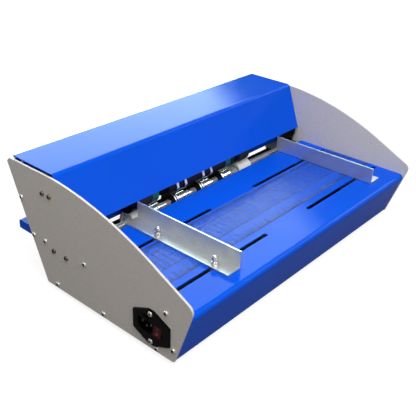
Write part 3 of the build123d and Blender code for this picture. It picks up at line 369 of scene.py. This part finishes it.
def dress():
    """Give the CAD nodes their materials; returns the zinc plate, which the screws share."""
    blue = blue_enamel()
    grey = grey_powder()
    steel = metal("steel", srgb(172, 176, 180), 0.3)
    collar = metal("turned_steel", srgb(250, 250, 250), 0.22, grain_mm=0.0005, metallic=0.8)
    chrome = metal("ground_shaft", srgb(236, 238, 240), 0.14, grain_mm=0.0002, metallic=0.55)
    zinc = metal("zinc_plate", srgb(226, 224, 216), 0.24, grain_mm=0.0005, metallic=0.8)
    dark = metal("blackened_steel", srgb(62, 58, 54), 0.42)
    spring = metal("spring_steel", srgb(206, 220, 240), 0.3, metallic=0.5)
    aluminium = satin_aluminium()
    cast = metal("sandblasted_aluminium", srgb(176, 178, 180), 0.5)
    pin = metal("nickel_pin", srgb(120, 118, 114), 0.35)
    nylon = plastic("white_nylon", srgb(240, 240, 236), 0.42)
    rubber = plastic("black_rubber", srgb(24, 24, 24), 0.75, 0.02, 0.2)
    green = plastic("green_urethane", srgb(36, 112, 92), 0.3)
    phenolic = plastic("brown_phenolic", srgb(34, 28, 26), 0.35, 0.015, 0.3, 1.3)
    black_plastic = plastic("black_plastic", srgb(5, 5, 6), 0.3, 0.008, 0.15, 1.18)
    red = plastic("red_plastic", srgb(68, 6, 5), 0.22, 0.004, ior=1.3)
    given = {
        blue: ("feed_table", "delivery_tray", "rear_panel", "top_cover"),
        grey: ("left_side_plate", "right_side_plate"),
        black_coat(): ("base_pan",),
        steel: (
            "crossbar", "hinge_frame_leaf", "hinge_cover_leaf", "hinge_pin",
            "motor_shaft", "motor_bracket", "left_perf_wheel", "right_perf_wheel",
            "left_crease_wheel", "right_crease_wheel",
        ),
        black_oxide_ring("ground_ring", 16.6): (
            "left_perf_anvil", "right_perf_anvil", "left_crease_die", "right_crease_die",
        ),
        collar: ("tool_collars",),
        chrome: ("lower_shaft", "upper_shaft"),
        zinc: (
            "left_guide_nuts", "right_guide_nuts", "left_guide_clamps", "right_guide_clamps",
        ),
        threaded_zinc(): ("left_guide_studs", "right_guide_studs"),
        dark: (
            "lower_gear", "upper_gear", "gear_motor", "left_bearing_block", "right_bearing_block",
        ),
        spring: ("hold_down_fingers",),
        aluminium: ("left_guide_angle", "right_guide_angle"),
        cast: ("shaft_pulley", "motor_pulley"),
        pin: ("inlet_pins",),
        nylon: ("left_feed_roller", "right_feed_roller"),
        rubber: (
            "left_press_tyre", "right_press_tyre", "drive_belt", "cover_bumpers", "rubber_feet",
        ),
        green: ("left_backing_ring", "right_backing_ring"),
        phenolic: ("tool_sleeves",),
        black_plastic: ("power_inlet", "fuse_drawer", "left_press_hub", "right_press_hub"),
        red: ("rocker_switch",),
        clear_acrylic(): ("table_ruler",),
    }
    for material, names in given.items():
        for name in names:
            wear(name, material)
    return zinc


# ---- pieces ------------------------------------------------------------------------------
def piece(name, mesh_data, material, body, replaced=()):
    """Finished piece from a bmesh, riding on a body."""
    mesh = bpy.data.meshes.new(name)
    mesh_data.to_mesh(mesh)
    mesh_data.free()
    obj = bpy.data.objects.new(name, mesh)
    bpy.context.collection.objects.link(obj)
    mesh.materials.append(material)
    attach(obj, body)
    if replaced:
        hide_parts(*replaced)
    return obj


def hexagon(across):
    """Radius of a hexagon at an angle."""
    return lambda angle: across / 2 / cos((angle + pi / 6) % (pi / 3) - pi / 6)


def cross(length, width):
    """Radius of a cross recess at an angle."""
    def radius(angle):
        off = abs((angle + pi / 4) % (pi / 2) - pi / 4)
        in_tip = off < width / length
        return length / 2 / cos(off) if in_tip else width / 2 / sin(off)
    return radius


def lathed(mesh_data, rings, place, segments=48, painted_shade_from=NO_PAINTED_SHADE):
    """Closed skin through rings of (radius or radius function, height); the recess is painted dark
    as shade.
    """
    loops = []
    for radius, height in rings:
        loop = []
        for number in range(segments):
            angle = 2 * pi * number / segments
            reach = radius(angle) if callable(radius) else radius
            point = Vector((height, reach * cos(angle), reach * sin(angle)))
            loop.append(mesh_data.verts.new(place @ (point / 1000)))
        loops.append(loop)
    for step, (low, high) in enumerate(zip(loops, loops[1:])):
        for number in range(segments):
            after = (number + 1) % segments
            face = mesh_data.faces.new((low[number], low[after], high[after], high[number]))
            face.material_index = int(step >= painted_shade_from)
    mesh_data.faces.new(loops[-1]).material_index = int(painted_shade_from < NO_PAINTED_SHADE)
    mesh_data.faces.new(tuple(reversed(loops[0])))


def head_rings(head_r, head_h, recess, recess_depth, shank_r, shank_len):
    """Rings of a button-head screw, from the shank's end to the bottom of its recess."""
    return (
        (shank_r * 0.8, -shank_len),
        (shank_r, -shank_len + 0.4),
        (shank_r, 0.0),
        (head_r, 0.0),
        (head_r, head_h * 0.3),
        (head_r * 0.94, head_h * 0.62),
        (head_r * 0.8, head_h * 0.88),
        (head_r * 0.62, head_h),
        (recess, head_h),
        (recess, head_h - recess_depth),
        (0.2, head_h - recess_depth - 0.2),
    )


def smooth(obj):
    """Smooth shading with sharp edges kept."""
    for face in obj.data.polygons:
        face.use_smooth = True
    obj.data.set_sharp_from_angle(angle=radians(SHARP_ANGLE))


def rocker_marks():
    """ON bar and OFF ring printed on the rocker's two faces."""
    paint = plastic("mark_print", srgb(116, 84, 78), 0.5)
    rocker = nodes["rocker_switch"]
    into = rocker.matrix_world.inverted()
    corners = [rocker.matrix_world @ Vector(corner) for corner in rocker.bound_box]
    low, high = (
        Vector(pick(corner[axis] for corner in corners) for axis in range(3)) for pick in (min, max)
    )
    middle_y = (low.y + high.y) / 2
    span = high.z - low.z
    inward = (into.to_3x3() @ Vector((1, 0, 0))).normalized()
    mesh_data = bmesh.new()

    def on_face(y, z):
        """Point on the rocker's outer face, MARK_LIFT proud of it."""
        start = into @ Vector((low.x - 0.01, y, z))
        _, point, normal, _ = rocker.ray_cast(start, inward)
        return mesh_data.verts.new(rocker.matrix_world @ (point + MARK_LIFT * normal))

    def strip(inner, outer):
        """Band of faces between two rows of (y, z) places."""
        first, second = [[on_face(*place) for place in row] for row in (inner, outer)]
        for corners in zip(first, second, second[1:], first[1:]):
            mesh_data.faces.new(corners)

    bar_z = low.z + BAR_AT * span
    strip(*[
        [(middle_y + side * BAR_HALF_W, bar_z + step * BAR_STEP) for step in range(-4, 5)]
        for side in (-1, 1)
    ])
    ring_z = low.z + RING_AT * span
    strip(*[
        [
            (middle_y + reach * cos(pi * k / 12), ring_z + reach * sin(pi * k / 12))
            for k in range(25)
        ]
        for reach in RING_RADII
    ])
    piece("rocker_marks", mesh_data, paint, "rocker")


def guide_hardware(side, face_x, outward, material):
    """Flanged nut, threaded neck and dome nut on each of a guide's studs."""
    rings = (
        (5.0, 0.0), (5.0, 0.7), (4.7, 1.0), (hexagon(8.0), 1.0), (hexagon(8.0), 4.4), (3.6, 5.0),
        (2.7, 5.0), (2.3, 5.4), (2.7, 5.8), (2.3, 6.2), (2.7, 6.6), (2.3, 7.0), (2.7, 7.4),
        (hexagon(7.4), 7.4), (hexagon(7.4), 10.0), (3.5, 10.4), (3.3, 11.4), (2.6, 12.3),
        (1.5, 12.85), (0.2, 13.0),
    )
    mesh_data = bmesh.new()
    upright = Matrix.Rotation(-pi / 2, 4, "Y")
    for number, y in enumerate(SLOT_ROWS):
        place = Matrix.Translation(at(face_x + outward * STUD_FROM_FACE, y, GUIDE_FOOT_TOP_Z))
        lathed(mesh_data, rings, place @ upright @ Matrix.Rotation(0.4 + number, 4, "X"))
    name, body, node = f"{side}_guide_dome_nuts", f"{side}_guide", f"{side}_guide_nuts"
    smooth(piece(name, mesh_data, material, body, (node,)))


def screw_set(name, node, material, places, rings, painted_shade, sides=(-1, 1), stand_off=0.0):
    """Screws at (y, z) places on the outside of the side plates, with recesses painted dark as
    shade.
    """
    mesh_data = bmesh.new()
    for side in sides:
        for number, (y, z) in enumerate(places):
            base = Matrix.Translation(at(side * (PLATE_OUTER_X + stand_off), y, z))
            turn = Matrix.Rotation(0.0 if side > 0 else pi, 4, "Z")
            spin = Matrix.Rotation(0.7 * number, 4, "X")
            lathed(mesh_data, rings, base @ turn @ spin, painted_shade_from=RECESS_RING)
    screws = piece(name, mesh_data, material, "frame", (node,))
    screws.data.materials.append(painted_shade)
    smooth(screws)


def fasteners(zinc):
    """Socket screws of the side plates and the inlet with recesses painted dark as shade, and the
    guides' nuts.
    """
    # Painted shade: a dark metal for the screws' recesses.
    painted_shade = metal("painted_recess_shade", srgb(46, 42, 38), 0.5)
    bronze = metal("bronzed_bolt", srgb(128, 108, 88), 0.3)
    chrome = metal("chromed_nut", srgb(210, 207, 200), 0.22, grain_mm=0.0004, metallic=0.8)
    socket = hexagon(SOCKET_ACROSS)
    slot = cross(CROSS_LENGTH, CROSS_WIDTH)
    light_rings = head_rings(HEAD_R, HEAD_H, socket, SOCKET_DEPTH, SHANK_R, PLATE_SHANK)
    bolt_rings = head_rings(HEAD_R, HEAD_H, socket, SOCKET_DEPTH, SHANK_R, BOLT_SHANK)
    inlet_rings = head_rings(HEAD_R, INLET_HEAD_H, slot, CROSS_DEPTH, SHANK_R, INLET_SHANK)
    screw_set(
        "plate_screw_heads", "plate_screws", zinc, PLATE_SCREWS, light_rings, painted_shade
    )
    screw_set(
        "dark_bolt_heads", "dark_bolts", bronze, DARK_BOLTS, bolt_rings, painted_shade
    )
    screw_set(
        "inlet_screw_heads", "inlet_screws", zinc, INLET_SCREWS, inlet_rings, painted_shade,
        sides=(-1,), stand_off=INLET_FLANGE_T,
    )
    guide_hardware("left", LEFT_GUIDE_X, -1, chrome)
    guide_hardware("right", RIGHT_GUIDE_X, 1, chrome)


def flat_mark(mesh_data, x_span, y_span, z):
    """Flat printed rectangle facing up."""
    (left, right), (front, rear) = x_span, y_span
    corners = ((left, front), (right, front), (right, rear), (left, rear))
    mesh_data.faces.new([mesh_data.verts.new(at(x, y, z)) for x, y in corners])


def ruler_scale(ink):
    """Printed graduations: two edge scales, four long lines and a light grid between them."""
    mesh_data = bmesh.new()
    rear_line, upper_line, lower_line, front_line = RULER_LINES
    z = RULER_TOP_Z + PRINT_LIFT
    half = RULER_HALF - RULER_MARGIN
    for y in RULER_LINES:
        flat_mark(mesh_data, (-half, half), (y - LINE_HALF_W, y + LINE_HALF_W), z)
    for millimetre in range(-int(half), int(half) + 1, TICK_STEP):
        on_centimetre = millimetre % 10 == 0
        length, half_width = LONG_TICK if on_centimetre else SHORT_TICK
        across = (millimetre - half_width, millimetre + half_width)
        flat_mark(mesh_data, across, (rear_line - length, rear_line), z)
        flat_mark(mesh_data, across, (front_line, front_line + length), z)
        if on_centimetre:
            flat_mark(mesh_data, across, (lower_line, upper_line), z)
    for step in range(1, 4):
        y = lower_line + step * (upper_line - lower_line) / 4
        flat_mark(mesh_data, (-half, half), (y - GRID_HALF_W, y + GRID_HALF_W), z)
    piece("ruler_graduations", mesh_data, ink, "frame")


def ruler_numbers(ink):
    """Plain numbers in centimetres, counted from the machine's middle."""
    mesh_data = bmesh.new()
    rows = (RULER_LINES[0] - NUMBERS_BELOW_REAR_LINE, RULER_LINES[3] + NUMBERS_ABOVE_FRONT_LINE)
    for centimetre in range(-24, 25, 2):
        for y in rows:
            curve = bpy.data.curves.new("number", "FONT")
            curve.body = str(abs(centimetre))
            curve.size = NUMBER_SIZE
            curve.align_x = "CENTER"
            text = bpy.data.objects.new("number", curve)
            glyphs = bpy.data.meshes.new_from_object(text)
            place = at(10 * centimetre, y, RULER_TOP_Z + PRINT_LIFT)
            glyphs.transform(Matrix.Translation(place))
            mesh_data.from_mesh(glyphs)
            bpy.data.objects.remove(text)
            bpy.data.curves.remove(curve)
            bpy.data.meshes.remove(glyphs)
    flat = [face for face in mesh_data.faces if face.calc_area() < SLIVER_AREA]
    bmesh.ops.delete(mesh_data, geom=flat, context="FACES")
    piece("ruler_numbers", mesh_data, ink, "frame")


# ---- stage and light ---------------------------------------------------------------------
def white_world():
    """White to camera and transmission rays, GLOSS_SKY to glossy rays, AMBIENT to the rest."""
    world = bpy.data.worlds.new("studio")
    bpy.context.scene.world = world
    world.use_nodes = True
    tree = world.node_tree
    tree.nodes.clear()
    out = tree.nodes.new("ShaderNodeOutputWorld")
    path = tree.nodes.new("ShaderNodeLightPath")

    def background(color):
        node = tree.nodes.new("ShaderNodeBackground")
        if isinstance(color, tuple):
            node.inputs["Color"].default_value = color
        else:
            tree.links.new(color, node.inputs["Color"])
        return node.outputs[0]

    def choose(factor, otherwise, chosen):
        node = tree.nodes.new("ShaderNodeMixShader")
        tree.links.new(factor, node.inputs["Fac"])
        tree.links.new(otherwise, node.inputs[1])
        tree.links.new(chosen, node.inputs[2])
        return node.outputs[0]

    coords = tree.nodes.new("ShaderNodeTexCoord")
    split = tree.nodes.new("ShaderNodeSeparateXYZ")
    tree.links.new(coords.outputs["Generated"], split.inputs[0])
    ramp = tree.nodes.new("ShaderNodeValToRGB")
    stops = ramp.color_ramp.elements
    for position, _ in GLOSS_SKY[1:-1]:
        stops.new(position)
    for stop, (position, level) in zip(stops, GLOSS_SKY):
        stop.position = position
        stop.color = (level, level, level, 1)
    tree.links.new(split.outputs["Z"], ramp.inputs["Fac"])
    glow = background(AMBIENT)
    sky = background(ramp.outputs["Color"])
    lit = choose(path.outputs["Is Glossy Ray"], glow, sky)
    seen = tree.nodes.new("ShaderNodeMath")
    seen.operation = "MAXIMUM"
    tree.links.new(path.outputs["Is Camera Ray"], seen.inputs[0])
    tree.links.new(path.outputs["Is Transmission Ray"], seen.inputs[1])
    tree.links.new(choose(seen.outputs[0], lit, background((1, 1, 1, 1))), out.inputs["Surface"])


def area_light(name, place, target, size, power):
    """Soft rectangular light that the camera doesn't see."""
    data = bpy.data.lights.new(name, "AREA")
    data.shape = "RECTANGLE"
    data.size, data.size_y = size
    data.energy = power
    light = bpy.data.objects.new(name, data)
    light.location = place
    aim = Vector(target) - Vector(place)
    light.rotation_euler = aim.to_track_quat("-Z", "Y").to_euler()
    light.visible_camera = False
    bpy.context.collection.objects.link(light)
    return light


def reflection_card(name, toward, size, color, strength, edge=None):
    """Bright card far away, seen in gloss only, toward an (azimuth, elevation) in degrees.

    edge is (slant, dark at, bright at): a soft slanted limit beyond which the card is dim.
    """
    azimuth, elevation = (radians(angle) for angle in toward)
    level = cos(elevation)
    direction = Vector((sin(azimuth) * level, cos(azimuth) * level, sin(elevation)))
    mesh = bpy.data.meshes.new(name)
    half_x, half_y = size[0] / 2, size[1] / 2
    corners = [
        (-half_x, -half_y, 0), (half_x, -half_y, 0), (half_x, half_y, 0), (-half_x, half_y, 0),
    ]
    mesh.from_pydata(corners, [], [(0, 1, 2, 3)])
    card = bpy.data.objects.new(name, mesh)
    card.location = direction * CARD_DISTANCE
    card.rotation_euler = (-direction).to_track_quat("-Z", "Y").to_euler()
    bpy.context.collection.objects.link(card)
    card.visible_camera = card.visible_diffuse = False
    card.visible_shadow = card.visible_transmission = False
    mat = bpy.data.materials.new(name)
    mat.use_nodes = True
    tree = mat.node_tree
    tree.nodes.clear()
    glow = tree.nodes.new("ShaderNodeEmission")
    glow.inputs["Color"].default_value = color
    glow.inputs["Strength"].default_value = strength
    if edge:
        slant, dark_at, bright_at = edge
        coords = tree.nodes.new("ShaderNodeTexCoord")
        along = tree.nodes.new("ShaderNodeVectorMath")
        along.operation = "DOT_PRODUCT"
        along.inputs[1].default_value = (1, slant, 0)
        fade = tree.nodes.new("ShaderNodeMapRange")
        fade.interpolation_type = "SMOOTHSTEP"
        set_range(fade, dark_at, bright_at, CARD_DIM, strength)
        tree.links.new(coords.outputs["Object"], along.inputs[0])
        tree.links.new(along.outputs["Value"], fade.inputs["Value"])
        tree.links.new(fade.outputs["Result"], glow.inputs["Strength"])
    out = tree.nodes.new("ShaderNodeOutputMaterial")
    tree.links.new(glow.outputs[0], out.inputs["Surface"])
    mesh.materials.append(mat)


def floor():
    """Floor: white with a faint shadow to camera and transmission rays, dark to diffuse rays.

    Glossy rays see it dim near the object, a painted shade for its contact shadow, and nearly white
    further away.
    """
    mesh = bpy.data.meshes.new("floor")
    reach = FLOOR_REACH
    corners = [(-reach, -reach, 0), (reach, -reach, 0), (reach, reach, 0), (-reach, reach, 0)]
    mesh.from_pydata(corners, [], [(0, 1, 2, 3)])
    plane = bpy.data.objects.new("floor", mesh)
    bpy.context.collection.objects.link(plane)
    mat = bpy.data.materials.new("floor_white")
    mat.use_nodes = True
    tree = mat.node_tree
    tree.nodes.clear()

    def shader(kind, color):
        node = tree.nodes.new(kind)
        node.inputs["Color"].default_value = (*[color] * 3, 1)
        return node.outputs[0]

    coords = tree.nodes.new("ShaderNodeTexCoord")
    away = tree.nodes.new("ShaderNodeVectorMath")
    away.operation = "LENGTH"
    tree.links.new(coords.outputs["Object"], away.inputs[0])

    def backdrop(near, far, span, shadowed):
        """Glow from near to far level over a span of metres, plus a matt part for the shadow."""
        rise = tree.nodes.new("ShaderNodeMapRange")
        set_range(rise, *span, near, far)
        glow = tree.nodes.new("ShaderNodeEmission")
        both = tree.nodes.new("ShaderNodeAddShader")
        tree.links.new(away.outputs["Value"], rise.inputs["Value"])
        tree.links.new(rise.outputs["Result"], glow.inputs["Strength"])
        tree.links.new(glow.outputs[0], both.inputs[0])
        tree.links.new(shader("ShaderNodeBsdfDiffuse", shadowed), both.inputs[1])
        return both.outputs[0]

    def choose(kind, otherwise, chosen):
        mix = tree.nodes.new("ShaderNodeMixShader")
        tree.links.new(path.outputs[kind], mix.inputs["Fac"])
        tree.links.new(otherwise, mix.inputs[1])
        tree.links.new(chosen, mix.inputs[2])
        return mix.outputs[0]

    path = tree.nodes.new("ShaderNodeLightPath")
    seen = backdrop(0.84, 1.0, (0.4, 1.0), 0.3)
    # Glossy rays: the glow is dimmed near the object, a painted shade for its contact shadow.
    mirrored_painted_shade = backdrop(0.12, 0.9, (0.35, 1.1), 0.1)
    dim = shader("ShaderNodeBsdfDiffuse", 0.12)
    lit = choose("Is Glossy Ray", dim, mirrored_painted_shade)
    shown = choose("Is Camera Ray", choose("Is Transmission Ray", lit, seen), seen)
    out = tree.nodes.new("ShaderNodeOutputMaterial")
    tree.links.new(shown, out.inputs["Surface"])
    mesh.materials.append(mat)


make_camera()
white_world()
floor()
area_light("key", (-0.45, -0.50, 1.58), (0, 0, 0.08), (1.3, 1.3), 18.5)
area_light("front_fill", (-0.35, -1.15, 1.05), (0, 0.06, 0.08), (0.8, 0.4), 5.5)
area_light("side_fill", (1.6, 0.5, 0.75), (0.1, 0, 0.08), (0.9, 0.6), 7.0).visible_glossy = False
reflection_card("rear_card", (35, 27), (14, 6), (0.86, 1.16, 1.1, 1), 7.0, (0.689, -3.0, -2.45))
reflection_card("front_card", (114, 31), (5.5, 2.6), (1, 1, 1, 1), 5.0)
fasteners(dress())
rocker_marks()
ink = scale_ink()
ruler_scale(ink)
ruler_numbers(ink)
